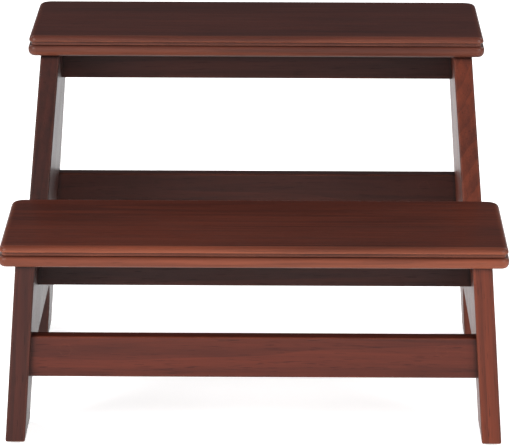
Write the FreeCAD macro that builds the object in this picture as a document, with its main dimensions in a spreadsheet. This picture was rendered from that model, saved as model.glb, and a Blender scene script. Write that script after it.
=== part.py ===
"""Two-tread wooden step stool, built as a flat-pack maker builds it.

Two solid side panels lean in towards the top.  Four rails of one section join them, held by bolts,
barrel nuts and dowels.  Two treads with a moulded edge sit on the panels' step-shaped top edges.
Millimetres, +Z up.  The origin is on the floor, under the middle of the whole stool.
X runs along the treads and -Y is the side that a person climbs from.
"""
import FreeCAD
import Part
import Sketcher
import math
import os

DRIVING_SIZES = [
    # the whole stool
    ("lower_width", 437.0),           # length of the lower tread, the widest piece
    ("tread_depth", 180.0),
    ("tread_thickness", 19.0),
    ("step_run", 246.0),              # from the front of one tread to the front of the next
    ("lower_height", 178.5),
    ("upper_height", 314.0),
    ("splay_angle", 3.7),             # lean of each side panel, in degrees
    # side panels
    ("panel_thickness", 17.0),
    ("lower_side_overhang", 14.0),    # tread past the panel, at each end
    ("upper_side_overhang", 11.0),
    ("front_overhang", 10.0),
    ("rear_overhang", 11.0),
    ("upright_setback", 19.0),        # upright's front edge behind the lower tread, at its top
    ("step_corner_radius", 12.0),
    ("front_foot_depth", 72.0),
    ("rear_foot_depth", 66.0),
    ("arch_height", 64.0),
    ("arch_radius", 40.0),
    ("edge_radius", 1.6),
    # tread edge moulding: an ovolo above a fuller nose, with a sunk quirk between them
    ("ovolo_height", 5.8),
    ("ovolo_radius", 4.4),
    ("ovolo_lip_radius", 0.8),
    ("ovolo_inset", 0.8),             # behind the nose
    ("quirk_height", 2.8),
    ("quirk_inset", 2.8),             # behind the nose
    ("quirk_lap", 3.0),               # how far the quirk's wall runs down into the nose
    ("nose_top_radius", 3.6),
    ("nose_bottom_radius", 5.2),
    ("front_corner_radius", 7.0),
    ("rear_corner_radius", 13.0),
    # rails
    ("rail_height", 36.0),
    ("rail_thickness", 15.5),
    ("apron_setback", 82.25),         # from a tread's front edge to its apron's face
    ("stretcher_setback", 6.0),       # behind the front edge of the panels
    ("stretcher_bottom", 59.0),
    ("rear_rail_inset", 4.5),
    ("rear_rail_top", 153.0),
    ("rail_edge_radius", 1.4),
    # bolts and barrel nuts
    ("bolt_diameter", 6.0),
    ("bolt_length", 50.0),
    ("bolt_tip", 1.0),
    ("bolt_head_diameter", 13.0),
    ("bolt_head_height", 2.4),
    ("bolt_head_chamfer", 0.4),
    ("bolt_socket", 4.0),             # across the flats
    ("bolt_socket_depth", 3.0),
    ("bolt_below_rail_top", 10.0),    # from a rail's top edge down to its bolts
    ("barrel_diameter", 10.0),
    ("barrel_length", 12.0),
    ("barrel_distance", 30.0),        # barrel nut from the panel
    ("barrel_chamfer", 0.5),
    ("barrel_slot_width", 1.4),
    ("barrel_slot_depth", 1.6),
    ("hole_clearance", 0.4),
    ("thread_clearance", 0.05),
    # dowels
    ("dowel_diameter", 8.0),
    ("dowel_length", 30.0),
    ("dowel_in_panel", 11.0),
    ("dowel_above_rail_bottom", 9.0), # from a rail's bottom edge up to its dowels
    ("tread_dowel_length", 25.0),
    ("tread_dowel_in_tread", 11.0),
    ("tread_dowel_spacing", 110.0),
    ("dowel_chamfer", 0.8),
    ("dowel_fit", 0.1),
    ("blind_end", 1.0),               # air left at the end of a blind hole
    # screws that hold the treads on the aprons
    ("screw_diameter", 4.5),
    ("screw_length", 35.0),
    ("screw_tip", 5.0),
    ("screw_head_diameter", 9.0),
    ("screw_head_height", 2.4),
    ("screw_slot_length", 5.0),
    ("screw_slot_width", 1.1),
    ("screw_slot_depth", 1.3),
    ("screw_sink", 12.0),             # counterbore below each screw head
    ("screw_offset", 110.0),          # from the middle of the apron
    # foot pads
    ("pad_thickness", 2.0),
    ("pad_length", 52.0),
    ("pad_width", 12.0),
    ("pad_corner_radius", 4.0),
]

doc = FreeCAD.newDocument("step_stool")
sheet = doc.addObject("Spreadsheet::Sheet", "size")
for row, (alias, number) in enumerate(DRIVING_SIZES, start=1):
    sheet.set(f"A{row}", alias)
    sheet.set(f"B{row}", str(number))
    sheet.setAlias(f"B{row}", alias)
doc.recompute()

# Where the main faces are, as expressions on the sheet.
tilt = "tan(size.splay_angle)"
panel_span = "(size.panel_thickness / cos(size.splay_angle))"
lower_seat = "(size.lower_height - size.tread_thickness)"
upper_seat = "(size.upper_height - size.tread_thickness)"
stool_rear = "((size.step_run + size.tread_depth) / 2)"
stool_front = f"(0 - {stool_rear})"
upper_front = f"({stool_front} + size.step_run)"
panel_front = f"({stool_front} + size.front_overhang)"
panel_rear = f"({stool_rear} - size.rear_overhang)"
outer_floor = f"(size.lower_width / 2 - size.lower_side_overhang + {lower_seat} * {tilt})"
lower_middle = f"({stool_front} + size.tread_depth / 2)"
upper_middle = f"({upper_front} + size.tread_depth / 2)"


def outer_at(height):
    """X of the right panel's outer face at a height."""
    return f"({outer_floor} - {height} * {tilt})"


def inner_at(height):
    """X of the right panel's inner face at a height."""
    return f"({outer_at(height)} - {panel_span})"


def middle_at(height):
    """X of the middle of the right panel at a height."""
    return f"({outer_at(height)} - {panel_span} / 2)"


upper_width = f"(2 * ({outer_at(upper_seat)} + size.upper_side_overhang))"

# Each rail: height of its bottom edge, and Y of its front face.
RAILS = {
    "lower_apron": (f"({lower_seat} - size.rail_height)", f"({stool_front} + size.apron_setback)"),
    "upper_apron": (f"({upper_seat} - size.rail_height)", f"({upper_front} + size.apron_setback)"),
    "rear_rail": (
        "(size.rear_rail_top - size.rail_height)",
        f"({panel_rear} - size.rear_rail_inset - size.rail_thickness)",
    ),
    "front_stretcher": ("size.stretcher_bottom", f"({panel_front} + size.stretcher_setback)"),
}
APRONS = ("lower_apron", "upper_apron")
SIDES = (-1, 1)                        # left and right


def value(expression):
    """The number that an expression gives now."""
    return float(sheet.evalExpression(expression))


def rail_middle(rail):
    """Y of the middle of a rail's thickness."""
    return f"({RAILS[rail][1]} + size.rail_thickness / 2)"


def bolt_height(rail):
    """Height at which a rail's bolts cross the panel's inner face."""
    return f"({RAILS[rail][0]} + size.rail_height - size.bolt_below_rail_top)"


def dowel_height(rail):
    """Height at which a rail's dowels cross the panel's inner face."""
    return f"({RAILS[rail][0]} + size.dowel_above_rail_bottom)"


def up_the_face(height):
    """Distance up the leaning outer face, square across from a height on the inner face."""
    return f"(({height} + size.panel_thickness * sin(size.splay_angle)) / cos(size.splay_angle))"


def square_in(height, depth):
    """X and Z of the right-hand point square in from the outer face, by a depth."""
    along = up_the_face(height)
    across = f"({outer_floor} - {along} * sin(size.splay_angle) - {depth} * cos(size.splay_angle))"
    return across, f"({along} * cos(size.splay_angle) - {depth} * sin(size.splay_angle))"


def tread_dowel_rows(middle):
    """Y of the two dowels between one panel and one tread, clear of the apron's bolt."""
    return [f"({middle} + {place} * size.tread_dowel_spacing / 2)" for place in (-1, 1)]


# Building blocks.

ALONG_X = FreeCAD.Vector(1, 0, 0)
ALONG_Z = FreeCAD.Vector(0, 0, 1)
NEAR = 0.02                            # how close a found edge lies to where it should be
MARGIN = "20"                          # how far waste outlines and drills run past the wood


def new_body(label):
    body = doc.addObject("PartDesign::Body", label)
    body.Label = label
    return body


def new_sketch(body, name, role):
    """An empty sketch on one of the body's own origin planes."""
    sketch = body.newObject("Sketcher::SketchObject", name)
    plane = next(item for item in body.Origin.OriginFeatures if item.Role == role)
    sketch.AttachmentSupport = [(plane, "")]
    sketch.MapMode = "FlatFace"
    return sketch


def add_driven(sketch, expression, kind, *place):
    """Add a constraint whose value follows an expression."""
    index = sketch.addConstraint(Sketcher.Constraint(kind, *place, value(expression)))
    sketch.setExpression(f"Constraints[{index}]", expression)


def pin_point(sketch, element, point, across, along):
    """Tie a sketch point to two expressions, measured from the sketch's origin."""
    add_driven(sketch, across, "DistanceX", -1, 1, element, point)
    add_driven(sketch, along, "DistanceY", -1, 1, element, point)


def spot(across, along):
    return FreeCAD.Vector(value(across), value(along), 0)


def polygon(body, name, role, corners):
    """A closed outline of straight lines through corners given as pairs of expressions."""
    sketch = new_sketch(body, name, role)
    spots = [spot(*corner) for corner in corners]
    count = len(spots)
    for index in range(count):
        sketch.addGeometry(Part.LineSegment(spots[index], spots[(index + 1) % count]))
    for index in range(count):
        sketch.addConstraint(Sketcher.Constraint("Coincident", index, 2, (index + 1) % count, 1))
    for index, (across, along) in enumerate(corners):
        pin_point(sketch, index, 1, across, along)
    return sketch


def circles(body, name, role, diameter, centres):
    """Circles of one diameter about centres given as pairs of expressions."""
    sketch = new_sketch(body, name, role)
    for across, along in centres:
        circle = Part.Circle(spot(across, along), ALONG_Z, value(diameter) / 2)
        element = sketch.addGeometry(circle)
        pin_point(sketch, element, 3, across, along)
        add_driven(sketch, diameter, "Diameter", element)
    return sketch


def rounded_rectangle(body, name, half_length, front, rear, front_radius, rear_radius):
    """A rectangle on the XY plane, with one radius at its front corners and one at its rear."""
    sketch = new_sketch(body, name, "XY_Plane")
    corners = [
        (f"({half_length} - {front_radius})", f"({front} + {front_radius})", front_radius),
        (f"({half_length} - {rear_radius})", f"({rear} - {rear_radius})", rear_radius),
        (f"(0 - {half_length} + {rear_radius})", f"({rear} - {rear_radius})", rear_radius),
        (f"(0 - {half_length} + {front_radius})", f"({front} + {front_radius})", front_radius),
    ]
    arcs = []
    for turn, (across, along, radius) in enumerate(corners):
        circle = Part.Circle(spot(across, along), ALONG_Z, value(radius))
        start = (turn - 1) * math.pi / 2
        arcs.append(Part.ArcOfCircle(circle, start, start + math.pi / 2))
    for arc in arcs:
        sketch.addGeometry(arc)
    for turn, arc in enumerate(arcs):
        following = arcs[(turn + 1) % 4]
        line = sketch.addGeometry(Part.LineSegment(arc.EndPoint, following.StartPoint))
        sketch.addConstraint(Sketcher.Constraint("Tangent", turn, 2, line, 1))
        sketch.addConstraint(Sketcher.Constraint("Tangent", line, 2, (turn + 1) % 4, 1))
    for turn, (across, along, radius) in enumerate(corners):
        pin_point(sketch, turn, 3, across, along)
        add_driven(sketch, radius, "Radius", turn)
    return sketch


def lift(sketch, distance):
    """Move a sketch along its own plane's normal; on the XZ plane that is towards -Y."""
    sketch.setExpression("AttachmentOffset.Base.z", distance)
    return sketch


def lay_on_panel(sketch, side, depth):
    """Lean a YZ sketch to lie along a panel, at a depth in from its outer face."""
    lean = FreeCAD.Rotation(FreeCAD.Vector(-side, 0, 0), 1)
    sketch.AttachmentOffset = FreeCAD.Placement(FreeCAD.Vector(0, 0, 0), lean)
    sketch.setExpression("AttachmentOffset.Rotation.Angle", "size.splay_angle")
    sketch.setExpression("AttachmentOffset.Base.y", f"0 - {depth} * sin(size.splay_angle)")
    across = f"({outer_floor} - {depth} * cos(size.splay_angle))"
    return lift(sketch, f"{side} * {across}")


def pad(body, sketch, name, length):
    feature = body.newObject("PartDesign::Pad", name)
    feature.Profile = sketch
    feature.setExpression("Length", length)
    doc.recompute()


def revolve(body, sketch, name):
    """Turn a half profile about the sketch's upright axis."""
    feature = body.newObject("PartDesign::Revolution", name)
    feature.Profile = sketch
    feature.ReferenceAxis = (sketch, ["V_Axis"])
    feature.Angle = 360
    doc.recompute()


def pocket(body, sketch, name, length=None, along_normal=False):
    """Cut a sketch out of the body, to a depth, or right through both ways if it has none."""
    before = body.Shape.Volume
    feature = body.newObject("PartDesign::Pocket", name)
    feature.Profile = sketch
    feature.Reversed = along_normal
    if length is None:
        feature.Type = "ThroughAll"
        feature.SideType = "Symmetric"
    else:
        feature.setExpression("Length", length)
    doc.recompute()
    if body.Shape.Volume > before - NEAR:
        raise RuntimeError(f"{body.Label}: {name} cuts nothing")


def fillet(body, name, radius, wanted):
    """Round the edges that a test picks."""
    base = body.Tip
    found = [f"Edge{n}" for n, edge in enumerate(base.Shape.Edges, start=1) if wanted(edge)]
    if not found:
        raise RuntimeError(f"{body.Label}: {name} finds no edge")
    feature = body.newObject("PartDesign::Fillet", name)
    feature.Base = (base, found)
    feature.setExpression("Radius", radius)
    doc.recompute()


def runs_along(edge, direction):
    """True for a straight edge parallel to a direction."""
    return isinstance(edge.Curve, Part.Line) and abs(edge.Curve.Direction.dot(direction)) > 1 - NEAR / 10


def crosses(across, height):
    """Test for the straight edges along X that pass a place in Y and Z."""
    place = (value(across), value(height))

    def wanted(edge):
        middle = edge.CenterOfMass
        here = abs(middle.y - place[0]) < NEAR and abs(middle.z - place[1]) < NEAR
        return here and runs_along(edge, ALONG_X)

    return wanted


def level_at(height):
    """Test for the edges that lie flat at a height."""
    level = value(height)

    def wanted(edge):
        return all(abs(z - level) < NEAR for z in (edge.BoundBox.ZMin, edge.BoundBox.ZMax))

    return wanted


def on_panel_faces(side):
    """Test for the edges of a panel's two broad faces, but for the square ones under the treads."""
    lean = math.radians(value("size.splay_angle"))
    outward = FreeCAD.Vector(side * math.cos(lean), 0, math.sin(lean))
    start = FreeCAD.Vector(side * value(outer_floor), 0, 0)
    faces = (0.0, value("size.panel_thickness"))
    seats = (value(lower_seat), value(upper_seat))

    def all_at(places, levels):
        return any(all(abs(place - level) < NEAR for place in places) for level in levels)

    def wanted(edge):
        depths = [(start - vertex.Point).dot(outward) for vertex in edge.Vertexes]
        heights = [vertex.Z for vertex in edge.Vertexes]
        return all_at(depths, faces) and not all_at(heights, seats)

    return wanted


# The wooden pieces.

def make_panel(label, side):
    """Side panel: a leaning board with a step sawn out above and a foot arch below."""
    body = new_body(label)
    floor_end = "size.pad_thickness"
    board = polygon(body, label + "_board", "XZ_Plane", [
        (f"{side} * {outer_at(floor_end)}", floor_end),
        (f"{side} * {outer_at(upper_seat)}", upper_seat),
        (f"{side} * {inner_at(upper_seat)}", upper_seat),
        (f"{side} * {inner_at(floor_end)}", floor_end),
    ])
    lift(board, f"0 - {panel_rear}")
    pad(body, board, label + "_blank", f"{panel_rear} - {panel_front}")

    upright_foot = f"({stool_front} + size.tread_depth + size.upright_setback)"
    upright_top = f"({upper_front} + size.front_overhang)"
    slope = f"(({upright_top} - {upright_foot}) / ({upper_seat} - size.lower_height))"
    step_corner = f"({upright_foot} - size.tread_thickness * {slope})"
    past_front = f"({panel_front} - {MARGIN})"
    past_top = f"({upper_seat} + {MARGIN})"
    step = polygon(body, label + "_step_waste", "YZ_Plane", [
        (past_front, lower_seat),
        (step_corner, lower_seat),
        (upright_top, upper_seat),
        (upright_top, past_top),
        (past_front, past_top),
    ])
    pocket(body, step, label + "_step")
    fillet(body, label + "_step_corner", "size.step_corner_radius", crosses(step_corner, lower_seat))

    arch_front = f"({panel_front} + size.front_foot_depth)"
    arch_rear = f"({panel_rear} - size.rear_foot_depth)"
    arch = polygon(body, label + "_arch_waste", "YZ_Plane", [
        (arch_front, f"0 - {MARGIN}"),
        (arch_rear, f"0 - {MARGIN}"),
        (arch_rear, "size.arch_height"),
        (arch_front, "size.arch_height"),
    ])
    pocket(body, arch, label + "_arch")
    for name, across in (("_arch_front", arch_front), ("_arch_rear", arch_rear)):
        fillet(body, label + name, "size.arch_radius", crosses(across, "size.arch_height"))
    fillet(body, label + "_eased_edges", "size.edge_radius", on_panel_faces(side))

    from_left = side < 0
    bolts = [(rail_middle(rail), up_the_face(bolt_height(rail))) for rail in RAILS]
    dowels = [(rail_middle(rail), up_the_face(dowel_height(rail))) for rail in RAILS]
    drillings = [
        ("_head_sinks", "(size.bolt_head_diameter + size.hole_clearance)", bolts, "0",
         "size.bolt_head_height"),
        ("_bolt_holes", "(size.bolt_diameter + size.hole_clearance)", bolts, "0",
         f"size.panel_thickness + {MARGIN}"),
        ("_dowel_holes", "(size.dowel_diameter + size.dowel_fit)", dowels,
         "(size.panel_thickness - size.dowel_in_panel - size.blind_end)",
         f"size.dowel_in_panel + {MARGIN}"),
    ]
    for name, diameter, centres, start, depth in drillings:
        marks = circles(body, label + name + "_marks", "YZ_Plane", diameter, centres)
        pocket(body, lay_on_panel(marks, side, start), label + name, depth, from_left)
    for step_name, seat, middle in (("_lower", lower_seat, lower_middle),
                                    ("_upper", upper_seat, upper_middle)):
        centres = [(f"{side} * {middle_at(seat)}", across) for across in tread_dowel_rows(middle)]
        marks = circles(body, label + step_name + "_seat_marks", "XY_Plane",
                        "(size.dowel_diameter + size.dowel_fit)", centres)
        pocket(body, lift(marks, seat), label + step_name + "_seat_holes",
               "size.tread_dowel_length - size.tread_dowel_in_tread + size.blind_end")
    return body


def beyond(half_length, front, rear):
    """Test for the edges that reach outside a rectangle seen from above."""
    end, near, far = value(half_length) + NEAR, value(front) - NEAR, value(rear) + NEAR

    def wanted(edge):
        box = edge.BoundBox
        return box.XMax > end or box.XMin < -end or box.YMin < near or box.YMax > far

    return wanted


def make_tread(label, length, front, seat, apron):
    """Tread: a full rounded nose, and a slightly smaller face with an ovolo edge above it."""
    body = new_body(label)
    rear = f"({front} + size.tread_depth)"
    top = f"({seat} + size.tread_thickness)"
    lip = f"({top} - size.ovolo_height)"
    nose_thickness = "(size.tread_thickness - size.ovolo_height - size.quirk_height)"
    nose_top = f"({seat} + {nose_thickness})"

    def layer(name, inset, bottom, thickness):
        """Add a slab with its edges a little behind the nose."""
        edges = (f"({length} / 2 - {inset})", f"({front} + {inset})", f"({rear} - {inset})")
        outline = rounded_rectangle(body, label + name + "_outline", *edges,
                                    f"(size.front_corner_radius - {inset})",
                                    f"(size.rear_corner_radius - {inset})")
        pad(body, lift(outline, bottom), label + name, thickness)
        return edges

    layer("_nose", "0", seat, nose_thickness)
    fillet(body, label + "_nose_top", f"min(size.nose_top_radius; {nose_thickness} * 0.4)",
           level_at(nose_top))
    fillet(body, label + "_nose_bottom", f"min(size.nose_bottom_radius; {nose_thickness} * 0.55)",
           level_at(seat))
    quirk_edges = layer("_quirk", "size.quirk_inset", f"({nose_top} - size.quirk_lap)",
                        "size.quirk_height + size.quirk_lap")
    layer("_face", "size.ovolo_inset", lip, "size.ovolo_height")
    fillet(body, label + "_ovolo", "size.ovolo_radius", level_at(top))
    at_lip, outside = level_at(lip), beyond(*quirk_edges)
    fillet(body, label + "_lip", "size.ovolo_lip_radius",
           lambda edge: at_lip(edge) and outside(edge))

    middle = f"({front} + size.tread_depth / 2)"
    seats = [f"{side} * {middle_at(seat)}" for side in SIDES]
    dowels = [(across, along) for across in seats for along in tread_dowel_rows(middle)]
    marks = circles(body, label + "_dowel_marks", "XY_Plane",
                    "(size.dowel_diameter + size.dowel_fit)", dowels)
    pocket(body, lift(marks, seat), label + "_dowel_holes",
           "size.tread_dowel_in_tread + size.blind_end", True)
    screws = [(f"{side} * size.screw_offset", rail_middle(apron)) for side in SIDES]
    marks = circles(body, label + "_screw_marks", "XY_Plane",
                    "(size.screw_diameter + 2 * size.thread_clearance)", screws)
    pocket(body, lift(marks, seat), label + "_screw_holes",
           "size.screw_length - size.rail_height + size.screw_sink + size.blind_end", True)
    return body


def make_rail(label):
    """Rail: a board between the panels, its ends cut to their lean."""
    body = new_body(label)
    bottom, front = RAILS[label]
    top = f"({bottom} + size.rail_height)"
    rear = f"({front} + size.rail_thickness)"
    outline = polygon(body, label + "_outline", "XZ_Plane", [
        (f"0 - {inner_at(bottom)}", bottom),
        (inner_at(bottom), bottom),
        (inner_at(top), top),
        (f"0 - {inner_at(top)}", top),
    ])
    pad(body, lift(outline, f"0 - {rear}"), label + "_board", "size.rail_thickness")
    fillet(body, label + "_eased_edges", "size.rail_edge_radius",
           lambda edge: runs_along(edge, ALONG_X))

    middle = rail_middle(label)
    bolt_reach = "(size.bolt_length + size.bolt_head_height - size.panel_thickness)"
    drillings = [
        ("_bolt", "(size.bolt_diameter + size.hole_clearance)", bolt_height(label),
         f"{bolt_reach} + size.blind_end"),
        ("_dowel", "(size.dowel_diameter + size.dowel_fit)", dowel_height(label),
         "size.dowel_length - size.dowel_in_panel + size.blind_end"),
    ]
    for side in SIDES:
        end = "_right" if side > 0 else "_left"
        for name, diameter, height, depth in drillings:
            marks = circles(body, label + end + name + "_mark", "YZ_Plane", diameter,
                            [(middle, up_the_face(height))])
            pocket(body, lay_on_panel(marks, side, "size.panel_thickness"),
                   label + end + name + "_hole", depth, side < 0)
    across, height = square_in(bolt_height(label), "(size.panel_thickness + size.barrel_distance)")
    barrels = circles(body, label + "_barrel_marks", "XZ_Plane",
                      "(size.barrel_diameter + size.hole_clearance)",
                      [(f"{side} * {across}", height) for side in SIDES])
    pocket(body, lift(barrels, f"0 - {rear}"), label + "_barrel_holes",
           "(size.rail_thickness + size.barrel_length + size.blind_end) / 2", True)
    if label in APRONS:
        screws = [(f"{side} * size.screw_offset", middle) for side in SIDES]
        for name, diameter, depth in (
            ("_screw_sinks", "(size.screw_head_diameter + size.hole_clearance)", "size.screw_sink"),
            ("_screw_holes", "(size.screw_diameter + size.hole_clearance)", "size.rail_height"),
        ):
            marks = circles(body, label + name + "_marks", "XY_Plane", diameter, screws)
            pocket(body, lift(marks, bottom), label + name, depth, True)
    return body


# Patterns for the small parts, each made once at the origin and placed by the groups below.

def make_bolt():
    """Flat-headed bolt: the head's face at Z 0, the shank below it, with a hexagon socket."""
    body = new_body("bolt_pattern")
    head, shank = "(size.bolt_head_diameter / 2)", "(size.bolt_diameter / 2)"
    tip = "(0 - size.bolt_head_height - size.bolt_length)"
    profile = polygon(body, "bolt_profile", "XZ_Plane", [
        ("0", "0"),
        (f"{head} - size.bolt_head_chamfer", "0"),
        (head, "0 - size.bolt_head_chamfer"),
        (head, "0 - size.bolt_head_height"),
        (shank, "0 - size.bolt_head_height"),
        (shank, f"{tip} + size.bolt_tip"),
        (f"{shank} - size.bolt_tip", tip),
        ("0", tip),
    ])
    revolve(body, profile, "bolt_turning")
    reach = "(size.bolt_socket / sqrt(3))"
    hexagon = polygon(body, "bolt_socket_outline", "XY_Plane", [
        (f"{reach} * cos({60 * corner})", f"{reach} * sin({60 * corner})") for corner in range(6)
    ])
    pocket(body, hexagon, "bolt_socket_cut", "size.bolt_socket_depth")
    return body


def make_barrel():
    """Barrel nut: its own axis along Z, the bolt's hole through it along X."""
    body = new_body("barrel_pattern")
    radius, half = "(size.barrel_diameter / 2)", "(size.barrel_length / 2)"
    profile = polygon(body, "barrel_profile", "XZ_Plane", [
        ("0", f"0 - {half}"),
        (f"{radius} - size.barrel_chamfer", f"0 - {half}"),
        (radius, f"size.barrel_chamfer - {half}"),
        (radius, f"{half} - size.barrel_chamfer"),
        (f"{radius} - size.barrel_chamfer", half),
        ("0", half),
    ])
    revolve(body, profile, "barrel_turning")
    thread = circles(body, "barrel_thread", "YZ_Plane",
                     "(size.bolt_diameter + 2 * size.thread_clearance)", [("0", "0")])
    pocket(body, thread, "barrel_hole")
    slot_half = "(size.barrel_slot_width / 2)"
    slot = polygon(body, "barrel_slot_outline", "XY_Plane", [
        (f"0 - {radius}", f"0 - {slot_half}"),
        (radius, f"0 - {slot_half}"),
        (radius, slot_half),
        (f"0 - {radius}", slot_half),
    ])
    pocket(body, lift(slot, half), "barrel_slot", "size.barrel_slot_depth")
    return body


def make_dowel(name, length):
    """Dowel centred on the origin along Z, with chamfered ends."""
    body = new_body(name)
    radius, half = "(size.dowel_diameter / 2)", f"({length} / 2)"
    profile = polygon(body, name + "_profile", "XZ_Plane", [
        ("0", f"0 - {half}"),
        (f"{radius} - size.dowel_chamfer", f"0 - {half}"),
        (radius, f"size.dowel_chamfer - {half}"),
        (radius, f"{half} - size.dowel_chamfer"),
        (f"{radius} - size.dowel_chamfer", half),
        ("0", half),
    ])
    revolve(body, profile, name + "_turning")
    return body


def make_screw():
    """Pan-headed wood screw pointing up, the underside of its head at Z 0."""
    body = new_body("screw_pattern")
    head, shank = "(size.screw_head_diameter / 2)", "(size.screw_diameter / 2)"
    profile = polygon(body, "screw_profile", "XZ_Plane", [
        ("0", "0 - size.screw_head_height"),
        (f"{head} / 2", "0 - size.screw_head_height"),
        (head, "0 - size.screw_head_height / 3"),
        (head, "0"),
        (shank, "0"),
        (shank, "size.screw_length - size.screw_tip"),
        ("0", "size.screw_length"),
    ])
    revolve(body, profile, "screw_turning")
    reach, half = "(size.screw_slot_length / 2)", "(size.screw_slot_width / 2)"
    cross = []
    for turn in range(4):
        for along, over in ((reach, f"(0 - {half})"), (reach, half), (half, half)):
            cosine, sine = f"cos({90 * turn})", f"sin({90 * turn})"
            cross.append((f"{along} * {cosine} - {over} * {sine}",
                          f"{along} * {sine} + {over} * {cosine}"))
    recess = polygon(body, "screw_recess_outline", "XY_Plane", cross)
    pocket(body, lift(recess, "0 - size.screw_head_height"), "screw_recess",
           "size.screw_slot_depth", True)
    return body


def make_foot_pad():
    """Rubber pad standing on the floor at the origin, its length along Y."""
    body = new_body("pad_pattern")
    outline = rounded_rectangle(body, "pad_outline", "(size.pad_width / 2)",
                                "(0 - size.pad_length / 2)", "(size.pad_length / 2)",
                                "size.pad_corner_radius", "size.pad_corner_radius")
    pad(body, outline, "pad_sheet", "size.pad_thickness")
    return body


def make_group(label, pattern, placements):
    """Identical small parts in one node, as separate solids."""
    copies = []
    for placement in placements:
        copy = pattern.Shape.copy()
        copy.Placement = placement
        copies.append(copy)
    node = doc.addObject("Part::Feature", label)
    node.Label = label
    node.Shape = Part.makeCompound(copies)
    node.Placement = FreeCAD.Placement()
    return node


def square_point(side, rail, height, depth):
    """The point square in from a panel's outer face, opposite a rail's middle."""
    across, up = square_in(height, depth)
    return FreeCAD.Vector(side * value(across), value(rail_middle(rail)), value(up))


def outward(side):
    """The direction square out of a panel's outer face."""
    lean = math.radians(value("size.splay_angle"))
    return FreeCAD.Vector(side * math.cos(lean), 0, math.sin(lean))


def bolt_places():
    """The head's face lies level with the panel's outer face."""
    for side in SIDES:
        turn = FreeCAD.Rotation(ALONG_Z, outward(side))
        for rail in RAILS:
            yield FreeCAD.Placement(square_point(side, rail, bolt_height(rail), "0"), turn)


def barrel_places():
    """Each barrel lies along Y with its hole in line with the bolt and its slot to the rear."""
    depth = "(size.panel_thickness + size.barrel_distance)"
    for side in SIDES:
        bolt_line = outward(side)
        rearward = FreeCAD.Vector(0, 1, 0)
        turn = FreeCAD.Rotation(bolt_line, rearward.cross(bolt_line), rearward, "ZXY")
        for rail in RAILS:
            yield FreeCAD.Placement(square_point(side, rail, bolt_height(rail), depth), turn)


def rail_dowel_places():
    depth = "(size.panel_thickness - size.dowel_in_panel + size.dowel_length / 2)"
    for side in SIDES:
        turn = FreeCAD.Rotation(ALONG_Z, outward(side))
        for rail in RAILS:
            yield FreeCAD.Placement(square_point(side, rail, dowel_height(rail), depth), turn)


def tread_dowel_places():
    for seat, middle in ((lower_seat, lower_middle), (upper_seat, upper_middle)):
        height = value(f"{seat} + size.tread_dowel_in_tread - size.tread_dowel_length / 2")
        for side in SIDES:
            for along in tread_dowel_rows(middle):
                centre = FreeCAD.Vector(side * value(middle_at(seat)), value(along), height)
                yield FreeCAD.Placement(centre, FreeCAD.Rotation())


def tread_screw_places():
    for apron in APRONS:
        height = value(f"{RAILS[apron][0]} + size.screw_sink")
        for side in SIDES:
            across = side * value("size.screw_offset")
            spot_on_apron = FreeCAD.Vector(across, value(rail_middle(apron)), height)
            yield FreeCAD.Placement(spot_on_apron, FreeCAD.Rotation())


def foot_pad_places():
    across = value(middle_at("size.pad_thickness"))
    front = value(f"{panel_front} + size.front_foot_depth / 2")
    rear = value(f"{panel_rear} - size.rear_foot_depth / 2")
    for side in SIDES:
        for along in (front, rear):
            yield FreeCAD.Placement(FreeCAD.Vector(side * across, along, 0), FreeCAD.Rotation())


nodes = [
    make_panel("left_side_panel", -1),
    make_panel("right_side_panel", 1),
    make_tread("lower_tread", "size.lower_width", stool_front, lower_seat, "lower_apron"),
    make_tread("upper_tread", upper_width, upper_front, upper_seat, "upper_apron"),
]
nodes += [make_rail(rail) for rail in RAILS]
bolt, barrel, screw, foot_pad = make_bolt(), make_barrel(), make_screw(), make_foot_pad()
rail_dowel = make_dowel("rail_dowel_pattern", "size.dowel_length")
tread_dowel = make_dowel("tread_dowel_pattern", "size.tread_dowel_length")
nodes += [
    make_group("rail_bolts", bolt, bolt_places()),
    make_group("barrel_nuts", barrel, barrel_places()),
    make_group("rail_dowels", rail_dowel, rail_dowel_places()),
    make_group("tread_dowels", tread_dowel, tread_dowel_places()),
    make_group("tread_screws", screw, tread_screw_places()),
    make_group("foot_pads", foot_pad, foot_pad_places()),
]
doc.recompute()

for item in doc.Objects:
    if "Invalid" in item.State or "Error" in item.State:
        raise RuntimeError(f"{item.Label} did not build: {item.State}")
for node in nodes:
    if node.Shape.isNull() or not node.Shape.isValid():
        raise RuntimeError(f"{node.Label} has no valid shape")

os.makedirs("parts", exist_ok=True)
for node in nodes:
    node.Shape.exportStep(f"parts/{node.Label}.step")
    box = node.Shape.BoundBox
    print(f"{node.Label}: {len(node.Shape.Solids)} solids, {node.Shape.Volume / 1000:.1f} cm3, "
          f"X {box.XMin:.1f}..{box.XMax:.1f} Y {box.YMin:.1f}..{box.YMax:.1f} "
          f"Z {box.ZMin:.1f}..{box.ZMax:.1f}")
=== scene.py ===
"""Dark-stained wooden step stool: materials, camera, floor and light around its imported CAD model.

Metres, +Z up, floor at Z 0.  X runs along the treads and -Y is the side that a person climbs from.
"""
import math

import bpy
from mathutils import Matrix, Vector


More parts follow.
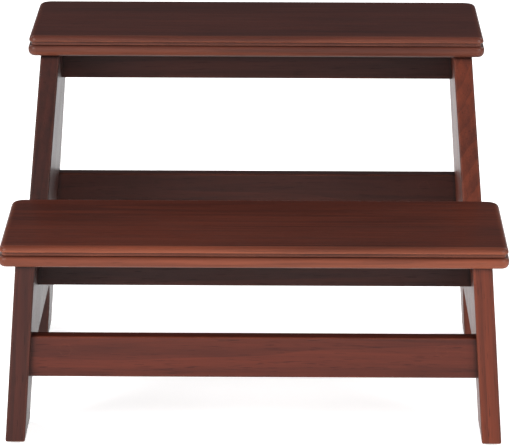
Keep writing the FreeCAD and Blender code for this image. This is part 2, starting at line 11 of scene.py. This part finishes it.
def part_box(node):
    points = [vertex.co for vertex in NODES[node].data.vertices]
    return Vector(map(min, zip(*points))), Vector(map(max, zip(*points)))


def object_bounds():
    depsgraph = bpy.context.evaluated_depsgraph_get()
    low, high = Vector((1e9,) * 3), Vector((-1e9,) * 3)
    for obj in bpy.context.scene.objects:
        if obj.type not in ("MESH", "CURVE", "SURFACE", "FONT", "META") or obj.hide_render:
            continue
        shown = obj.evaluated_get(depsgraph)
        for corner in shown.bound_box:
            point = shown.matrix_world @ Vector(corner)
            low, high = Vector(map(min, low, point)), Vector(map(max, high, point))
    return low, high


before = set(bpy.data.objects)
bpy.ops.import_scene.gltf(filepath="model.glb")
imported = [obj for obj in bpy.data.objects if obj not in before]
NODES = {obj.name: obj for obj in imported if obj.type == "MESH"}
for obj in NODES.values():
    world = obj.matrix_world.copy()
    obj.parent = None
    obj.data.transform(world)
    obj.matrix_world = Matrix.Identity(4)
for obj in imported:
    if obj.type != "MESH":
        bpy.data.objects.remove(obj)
cad_low, cad_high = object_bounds()

MM = 0.001

# a Mix node has one set of sockets for each type of data, and these are the colour ones
MIX_FIRST_COLOUR, MIX_SECOND_COLOUR, MIX_COLOUR = 6, 7, 2

# ---------------------------------------------------------------- node trees


def attach(tree, value, socket):
    """Set a socket to a value, or join it to another node's output."""
    if isinstance(value, bpy.types.NodeSocket):
        tree.links.new(value, socket)
    else:
        socket.default_value = value


def add(tree, kind, inputs=None, output=0, **settings):
    """Add a node with its settings and inputs, and return one of its outputs."""
    node = tree.nodes.new(kind)
    for name, setting in settings.items():
        setattr(node, name, setting)
    for name, value in (inputs or {}).items():
        attach(tree, value, node.inputs[name])
    return node.outputs[output]


def maths(tree, operation, first, second):
    return add(tree, "ShaderNodeMath", {0: first, 1: second}, operation=operation)


def scaled(tree, vector, factors):
    return add(tree, "ShaderNodeVectorMath", {0: vector, 1: factors}, operation="MULTIPLY")


def moved(tree, vector, offset):
    return add(tree, "ShaderNodeVectorMath", {0: vector, 1: offset}, operation="ADD")


def noise(tree, vector, scale, detail=2.0, roughness=0.5, output=0):
    """Smooth noise from 0 to 1, or as a colour."""
    return add(tree, "ShaderNodeTexNoise",
               {"Vector": vector, "Scale": scale, "Detail": detail, "Roughness": roughness},
               output=output)


def spread(tree, factor, low, high, to_low=0.0, to_high=1.0):
    """Stretch the part of a factor between low and high over a new range, clamped and smoothed."""
    return add(tree, "ShaderNodeMapRange",
               {"Value": factor, "From Min": low, "From Max": high, "To Min": to_low,
                "To Max": to_high},
               interpolation_type="SMOOTHSTEP")


def times(tree, factor, weight):
    return maths(tree, "MULTIPLY", factor, weight)


def blended(tree, factor, first, second):
    """Mix two colours."""
    node = tree.nodes.new("ShaderNodeMix")
    node.data_type = "RGBA"
    attach(tree, factor, node.inputs["Factor"])
    attach(tree, first, node.inputs[MIX_FIRST_COLOUR])
    attach(tree, second, node.inputs[MIX_SECOND_COLOUR])
    return node.outputs[MIX_COLOUR]


def colour(red, green, blue):
    return (red, green, blue, 1.0)


def darker(shade, share):
    """A colour with only a share of its light."""
    return colour(*(share * channel for channel in shade[:3]))


def set_constants(shader, constants):
    """Set the shader's sockets that are the same all over a surface."""
    for name, value in constants.items():
        shader.inputs[name].default_value = value


def roughened(tree, shader, height, strength, depth):
    """Fine relief in the surface, without changing its shape."""
    bump = add(tree, "ShaderNodeBump", {"Height": height, "Strength": strength, "Distance": depth})
    attach(tree, bump, shader.inputs["Normal"])


def new_material(name):
    """A plain material, with its node tree and its shader."""
    material = bpy.data.materials.new(name)
    material.use_nodes = True
    tree = material.node_tree
    shader = next(node for node in tree.nodes if node.type == "BSDF_PRINCIPLED")
    return material, tree, shader


def object_place(tree):
    """Each point's place on the stool, the same from every view."""
    return add(tree, "ShaderNodeTexCoord", output="Object")


def edge_mask(tree, radius, low, high):
    """0 on open faces, rising to 1 where a face turns into an arris."""
    rounded = add(tree, "ShaderNodeBevel", {"Radius": radius}, samples=6)
    facing = add(tree, "ShaderNodeNewGeometry", output="Normal")
    agreement = add(tree, "ShaderNodeVectorMath", {0: rounded, 1: facing}, output="Value",
                    operation="DOT_PRODUCT")
    return spread(tree, maths(tree, "SUBTRACT", 1.0, agreement), low, high)


def crevice_mask(tree, reach):
    """0 in the open, rising to 1 down in grooves and close to where two pieces meet, where shade
    falls; it sets the painted shade there.
    """
    openness = add(tree, "ShaderNodeAmbientOcclusion", {"Distance": reach}, output="AO", samples=8)
    return spread(tree, openness, 0.42, 0.93, 1.0, 0.0)


def rim_mask(tree, node, reach):
    """0 on the middle of a tread, rising to 1 over its moulded edge, on all four sides."""
    low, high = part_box(node)
    middle = (Vector(low) + Vector(high)) / 2
    half = (Vector(high) - Vector(low)) / 2
    from_middle = moved(tree, object_place(tree), tuple(-middle))
    outward = add(tree, "ShaderNodeVectorMath", {0: from_middle}, operation="ABSOLUTE")
    past_flat = moved(tree, outward, (reach - half.x, reach - half.y, 0.0))
    along_x = add(tree, "ShaderNodeSeparateXYZ", {"Vector": past_flat}, output="X")
    along_y = add(tree, "ShaderNodeSeparateXYZ", {"Vector": past_flat}, output="Y")
    return spread(tree, maths(tree, "MAXIMUM", along_x, along_y), 0.0, 0.5 * reach)


# ---------------------------------------------------------------- wood

PANEL_SPLAY = 3.7
ALONG_X = (0.0, 0.0, 0.0)
UP_LEFT_PANEL = (0.0, math.radians(90.0 - PANEL_SPLAY), 0.0)
UP_RIGHT_PANEL = (0.0, math.radians(90.0 + PANEL_SPLAY), 0.0)

# how far each kind of figure is stretched along the grain (x) and across it (y, z), per metre
DRIFT, RINGS, CLOUD = (2.2, 9.0, 9.0), (0.06, 1.0, 1.0), (3.0, 16.0, 16.0)
STREAK, FIBRE, PORES = (5.0, 190.0, 190.0), (26.0, 1100.0, 1100.0), (55.0, 1500.0, 1500.0)
RUBBING, SHEEN = (40.0, 90.0, 90.0), (18.0, 30.0, 30.0)

# how much each kind of figure lightens the stain, and how much pores, the painted shade in grooves,
# and the wear with its painted highlight change it
RING_WEIGHT, CLOUD_WEIGHT, STREAK_WEIGHT, FIBRE_WEIGHT = 0.22, 0.38, 0.28, 0.12
PORE_WEIGHT, GROOVE_PAINTED_SHADE_WEIGHT, WEAR_AND_HIGHLIGHT_WEIGHT = 0.55, 0.85, 0.8
PORE_SHADE, GROOVE_PAINTED_SHADE_SHARE = 0.35, 0.4

ARRIS_REACH, MOULDING_REACH = 2.2 * MM, 7.0 * MM
GROOVE_REACH, JOINT_REACH = 9.0 * MM, 6.0 * MM
SATIN_LACQUER = {"IOR": 1.27, "Coat Weight": 0.22, "Coat Roughness": 0.24, "Coat IOR": 1.25}


def wavering_grain(tree, place):
    """Places in the timber, with slow waves in the run of the grain."""
    half = (-0.5, -0.5, -0.5)
    drift = noise(tree, scaled(tree, place, DRIFT), 1.0, 2.0, output="Color")
    wander = scaled(tree, moved(tree, drift, half), (0.0, 0.02, 0.02))
    return moved(tree, place, wander)


def figure(tree, grain, ring_centre):
    """The figure's lightness, and the streaks, fibres and open pores that it holds."""
    rings = add(tree, "ShaderNodeTexWave",
                {"Vector": moved(tree, scaled(tree, grain, RINGS), ring_centre),
                 "Scale": 38.0, "Distortion": 2.4, "Detail": 2.0, "Detail Scale": 1.2},
                output="Fac", wave_type="RINGS", rings_direction="X", wave_profile="SAW")
    cloud = noise(tree, scaled(tree, grain, CLOUD), 1.0, 3.0, 0.55)
    streak = noise(tree, scaled(tree, grain, STREAK), 1.0, 4.0, 0.6)
    fibre = noise(tree, scaled(tree, grain, FIBRE), 1.0, 2.0, 0.6)
    pores = spread(tree, noise(tree, scaled(tree, grain, PORES), 1.0, 1.0, 0.4), 0.63, 0.72)

    tone = times(tree, spread(tree, rings, 0.0, 1.0), RING_WEIGHT)
    for field, low, high, weight in ((cloud, 0.3, 0.7, CLOUD_WEIGHT),
                                     (streak, 0.32, 0.68, STREAK_WEIGHT),
                                     (fibre, 0.3, 0.7, FIBRE_WEIGHT)):
        tone = maths(tree, "ADD", tone, times(tree, spread(tree, field, low, high), weight))
    return tone, streak, fibre, pores


def painted_floor_bounce(tree, streak, moulded_node, floor_bounce_share):
    """Painted light on a tread's moulded edge: lightest where it faces down, as if lit by the floor
    below.
    """
    facing = add(tree, "ShaderNodeNewGeometry", output="Normal")
    upward = add(tree, "ShaderNodeSeparateXYZ", {"Vector": facing}, output="Z")
    floor_bounce = spread(tree, upward, -0.7, 0.9, floor_bounce_share, 0.4 * floor_bounce_share)
    floor_bounce = times(tree, floor_bounce, rim_mask(tree, moulded_node, MOULDING_REACH))
    return times(tree, floor_bounce, spread(tree, streak, 0.3, 0.7, 0.55, 1.25))


def wood(name, turn, offset, dark, light, ring_centre, moulded_node=None, floor_bounce_share=0.0):
    """Stained hardwood under satin lacquer.

    turn brings the grain onto X, offset picks another part of the same timber, and ring_centre is
    where the middle of the tree would be, across the grain.  moulded_node is the tread whose moulded
    edge is painted lighter where it faces down, painted light from the floor below, by the share
    given after it.
    """
    material, tree, shader = new_material(name)
    place = add(tree, "ShaderNodeMapping",
                {"Vector": object_place(tree), "Location": offset, "Rotation": turn},
                vector_type="POINT")
    grain = wavering_grain(tree, place)
    tone, streak, fibre, pores = figure(tree, grain, ring_centre)
    body = blended(tree, tone, dark, light)
    body = blended(tree, times(tree, pores, PORE_WEIGHT), body, darker(dark, PORE_SHADE))

    # the moulding painted lighter where it faces down, as painted light from the floor below; the
    # arrises lighter, partly rubbed stain and partly a painted highlight; painted shade in the
    # grooves and joints
    crevice = crevice_mask(tree, GROOVE_REACH if moulded_node else JOINT_REACH)
    in_open = maths(tree, "SUBTRACT", 1.0, crevice)
    if moulded_node:
        # painted light from the floor below on the moulding, lightest where it faces down
        floor_bounce = painted_floor_bounce(tree, streak, moulded_node, floor_bounce_share)
        body = blended(tree, times(tree, floor_bounce, in_open), body, WORN_AND_LIT)
    rubbing = noise(tree, scaled(tree, place, RUBBING), 1.0, 3.0)
    rub = spread(tree, rubbing, 0.35, 0.65, 0.35, 1.0)
    # the arrises lighter: partly rubbed stain, partly a painted highlight
    wear_and_highlight = times(tree, edge_mask(tree, ARRIS_REACH, 0.004, 0.11), rub)
    wear_and_highlight = times(tree, wear_and_highlight, in_open)
    body = blended(tree, times(tree, wear_and_highlight, WEAR_AND_HIGHLIGHT_WEIGHT), body, WORN_AND_LIT)
    # painted shade in the grooves and where pieces meet, darkened from the occlusion mask
    body = blended(tree, times(tree, crevice, GROOVE_PAINTED_SHADE_WEIGHT), body, darker(dark, GROOVE_PAINTED_SHADE_SHARE))
    attach(tree, body, shader.inputs["Base Color"])

    sheen_break = noise(tree, scaled(tree, place, SHEEN), 1.0, 3.0)
    rough = spread(tree, sheen_break, 0.3, 0.7, 0.45, 0.51)
    rough = maths(tree, "ADD", rough, times(tree, pores, 0.18))
    attach(tree, rough, shader.inputs["Roughness"])
    set_constants(shader, SATIN_LACQUER)
    relief = maths(tree, "SUBTRACT", times(tree, fibre, 0.5), pores)
    roughened(tree, shader, relief, 0.35, 0.12 * MM)
    return material


def paint(node, material):
    """Give a CAD node's object a finer material in place of its plain one."""
    for slot in NODES[node].material_slots:
        slot.material = material


# the darkest and lightest stain on each board
LOWER_TREAD_DARK, LOWER_TREAD_LIGHT = colour(0.024, 0.0046, 0.0024), colour(0.096, 0.0176, 0.0072)
UPPER_TREAD_DARK, UPPER_TREAD_LIGHT = colour(0.018, 0.0044, 0.0034), colour(0.064, 0.0150, 0.0092)
STRETCHER_DARK, STRETCHER_LIGHT = colour(0.024, 0.0038, 0.0018), colour(0.086, 0.0142, 0.0058)
# the rail stain is darker than the stretcher's as painted shade, for the shade under the treads
SHADED_RAIL_DARK, SHADED_RAIL_LIGHT = colour(0.0125, 0.0028, 0.0019), colour(0.048, 0.0102, 0.0056)
LEFT_DARK, LEFT_LIGHT = colour(0.0080, 0.0016, 0.0009), colour(0.040, 0.0074, 0.0038)
RIGHT_DARK, RIGHT_LIGHT = colour(0.033, 0.0056, 0.0022), colour(0.122, 0.0220, 0.0076)
WORN_AND_LIT = colour(0.290, 0.082, 0.038)

# where the middle of the tree would be, across the grain
TREAD_HEART, RAIL_HEART = (0.0, 0.06, -0.32), (0.0, 0.35, 0.08)
LEFT_HEART, RIGHT_HEART = (0.0, 0.1, 0.3), (0.0, -0.1, 0.3)

paint("lower_tread", wood("lower_tread_cherry_stain", ALONG_X, (0.0, 0.0, 0.1), LOWER_TREAD_DARK,
                          LOWER_TREAD_LIGHT, TREAD_HEART, "lower_tread", 0.36))
paint("upper_tread", wood("upper_tread_cherry_stain", ALONG_X, (0.4, 0.3, 0.1), UPPER_TREAD_DARK,
                          UPPER_TREAD_LIGHT, TREAD_HEART, "upper_tread", 0.22))
# the aprons and rear rail take the darker rail stain, painted shade for their place under the treads
for row, node in enumerate(("lower_apron", "upper_apron", "rear_rail")):
    paint(node, wood(f"{node}_cherry_stain", ALONG_X, (0.7 * row, 0.21 * row, 0.05 * row),
                     SHADED_RAIL_DARK, SHADED_RAIL_LIGHT, RAIL_HEART))
paint("front_stretcher", wood("front_stretcher_cherry_stain", ALONG_X, (2.1, 0.63, 0.15),
                              STRETCHER_DARK, STRETCHER_LIGHT, RAIL_HEART))
paint("left_side_panel", wood("left_panel_cherry_stain", UP_LEFT_PANEL, (0.2, 0.1, 0.4), LEFT_DARK,
                              LEFT_LIGHT, LEFT_HEART))
paint("right_side_panel", wood("right_panel_cherry_stain", UP_RIGHT_PANEL, (0.9, 0.6, 0.2),
                               RIGHT_DARK, RIGHT_LIGHT, RIGHT_HEART))

# ---------------------------------------------------------------- fasteners, dowels and pads

BRIGHT_METAL = colour(0.78, 0.77, 0.75)


def metal(name, base, roughness):
    """Plated steel, finely brushed, a little darker in patches and bright on its edges."""
    material, tree, shader = new_material(name)
    place = object_place(tree)
    patch = noise(tree, place, 260.0, 3.0)
    scratch = noise(tree, scaled(tree, place, (400.0, 3200.0, 3200.0)), 1.0, 2.0)
    shade = blended(tree, spread(tree, patch, 0.3, 0.7), base, darker(base, 0.7))
    rubbed = times(tree, edge_mask(tree, 0.5 * MM, 0.02, 0.2), 0.5)
    attach(tree, blended(tree, rubbed, shade, BRIGHT_METAL), shader.inputs["Base Color"])
    attach(tree, spread(tree, scratch, 0.2, 0.8, roughness - 0.06, roughness + 0.1),
           shader.inputs["Roughness"])
    set_constants(shader, {"Metallic": 1.0})
    roughened(tree, shader, scratch, 0.2, 0.03 * MM)
    return material


def bare_beech():
    """Unfinished beech dowel with short dark flecks."""
    material, tree, shader = new_material("bare_beech")
    place = object_place(tree)
    fleck = noise(tree, scaled(tree, place, (900.0, 900.0, 900.0)), 1.0, 2.0)
    grain = noise(tree, place, 240.0, 4.0)
    body = blended(tree, spread(tree, grain, 0.3, 0.7), colour(0.42, 0.26, 0.14),
                   colour(0.60, 0.42, 0.26))
    flecks = times(tree, spread(tree, fleck, 0.6, 0.7), 0.5)
    attach(tree, blended(tree, flecks, body, colour(0.26, 0.14, 0.07)), shader.inputs["Base Color"])
    attach(tree, spread(tree, grain, 0.2, 0.8, 0.6, 0.75), shader.inputs["Roughness"])
    roughened(tree, shader, fleck, 0.3, 0.1 * MM)
    return material


def rubber():
    """Dark moulded rubber, grained and dusty on its edges."""
    material, tree, shader = new_material("foot_rubber")
    place = object_place(tree)
    grain = noise(tree, place, 1500.0, 3.0)
    dust = noise(tree, place, 90.0, 4.0)
    body = blended(tree, spread(tree, dust, 0.4, 0.8), colour(0.012, 0.011, 0.011),
                   colour(0.045, 0.042, 0.040))
    worn = times(tree, edge_mask(tree, 0.6 * MM, 0.02, 0.25), 0.5)
    attach(tree, blended(tree, worn, body, colour(0.08, 0.075, 0.07)), shader.inputs["Base Color"])
    attach(tree, spread(tree, grain, 0.2, 0.8, 0.68, 0.85), shader.inputs["Roughness"])
    roughened(tree, shader, grain, 0.4, 0.08 * MM)
    return material


bronze = metal("antique_bronze", colour(0.115, 0.075, 0.050), 0.38)
zinc = metal("zinc_plated_steel", colour(0.58, 0.58, 0.57), 0.32)
beech = bare_beech()
paint("rail_bolts", bronze)
paint("barrel_nuts", zinc)
paint("tread_screws", zinc)
paint("rail_dowels", beech)
paint("tread_dowels", beech)
paint("foot_pads", rubber())

# ---------------------------------------------------------------- floor, light and camera

FLOOR_HALF = 9.0
# a white studio floor that glows softly, so that it stays pale under the stool
GLOWING_WHITE = {"Base Color": colour(0.86, 0.86, 0.86), "Roughness": 0.9,
                 "Emission Color": colour(1.0, 1.0, 1.0), "Emission Strength": 0.7}

HORIZON, ZENITH = colour(0.05, 0.045, 0.048), colour(0.55, 0.55, 0.57)
SKY_STRENGTH = 0.8

SENSOR_WIDTH, FOCAL_LENGTH = 36.0, 281.92
FRAME_SHIFT = -0.0004
VIEW_DISTANCE = 60.0
CAMERA_PLACE = (0.0242, -3.531, 0.9974)
CAMERA_YAW, CAMERA_PITCH, CAMERA_ROLL = -0.3824, 13.513, 0.1595

# name, place, width and height, watts
SOFTBOXES = (
    ("left_key", (-2.0, -2.3, 1.3), (1.8, 1.4), 120.0),
    ("right_key", (2.1, -2.3, 1.3), (1.8, 1.4), 92.0),
    ("left_rim", (-2.6, 1.7, 2.1), (2.0, 1.6), 42.0),
    ("right_rim", (2.6, 1.7, 2.1), (2.0, 1.6), 42.0),
)


def make_floor():
    """A large flat floor at the height that the stool stands on."""
    mesh = bpy.data.meshes.new("floor")
    corners = [(x, y, 0.0) for x, y in ((-FLOOR_HALF, -FLOOR_HALF), (FLOOR_HALF, -FLOOR_HALF),
                                        (FLOOR_HALF, FLOOR_HALF), (-FLOOR_HALF, FLOOR_HALF))]
    mesh.from_pydata(corners, [], [(0, 1, 2, 3)])
    floor = bpy.data.objects.new("floor", mesh)
    bpy.context.scene.collection.objects.link(floor)
    material, _, shader = new_material("pale_floor")
    set_constants(shader, GLOWING_WHITE)
    mesh.materials.append(material)


def softbox(name, place, size, power, target):
    """A rectangular area light facing a point."""
    light = bpy.data.lights.new(name, "AREA")
    light.shape = "RECTANGLE"
    light.size, light.size_y = size
    light.energy = power
    lamp = bpy.data.objects.new(name, light)
    lamp.location = place
    lamp.rotation_euler = (Vector(target) - Vector(place)).to_track_quat("-Z", "Y").to_euler()
    bpy.context.scene.collection.objects.link(lamp)


def make_world():
    """Soft studio air, dim at eye level and brighter overhead."""
    world = bpy.data.worlds.new("studio")
    world.use_nodes = True
    tree = world.node_tree
    background = next(node for node in tree.nodes if node.type == "BACKGROUND")
    direction = add(tree, "ShaderNodeTexCoord", output="Generated")
    height = add(tree, "ShaderNodeSeparateXYZ", {"Vector": direction}, output="Z")
    shade = blended(tree, spread(tree, height, 0.2, 1.0), HORIZON, ZENITH)
    attach(tree, shade, background.inputs["Color"])
    background.inputs["Strength"].default_value = SKY_STRENGTH
    bpy.context.scene.world = world


def make_camera():
    """Stand the camera in front of the lower tread, looking a little down."""
    data = bpy.data.cameras.new("camera")
    data.sensor_width = SENSOR_WIDTH
    data.lens = FOCAL_LENGTH
    data.shift_x = FRAME_SHIFT
    data.clip_end = VIEW_DISTANCE
    camera = bpy.data.objects.new("camera", data)
    bpy.context.scene.collection.objects.link(camera)
    turn = (Matrix.Rotation(-math.radians(CAMERA_YAW), 4, "Z")
            @ Matrix.Rotation(math.radians(90.0 - CAMERA_PITCH), 4, "X")
            @ Matrix.Rotation(math.radians(CAMERA_ROLL), 4, "Z"))
    camera.matrix_world = Matrix.Translation(CAMERA_PLACE) @ turn
    bpy.context.scene.camera = camera


make_floor()
make_world()
stool_middle = (cad_low + cad_high) / 2
for name, place, size, power in SOFTBOXES:
    softbox(name, place, size, power, stool_middle)
make_camera()
bpy.context.scene.view_settings.view_transform = "Standard"
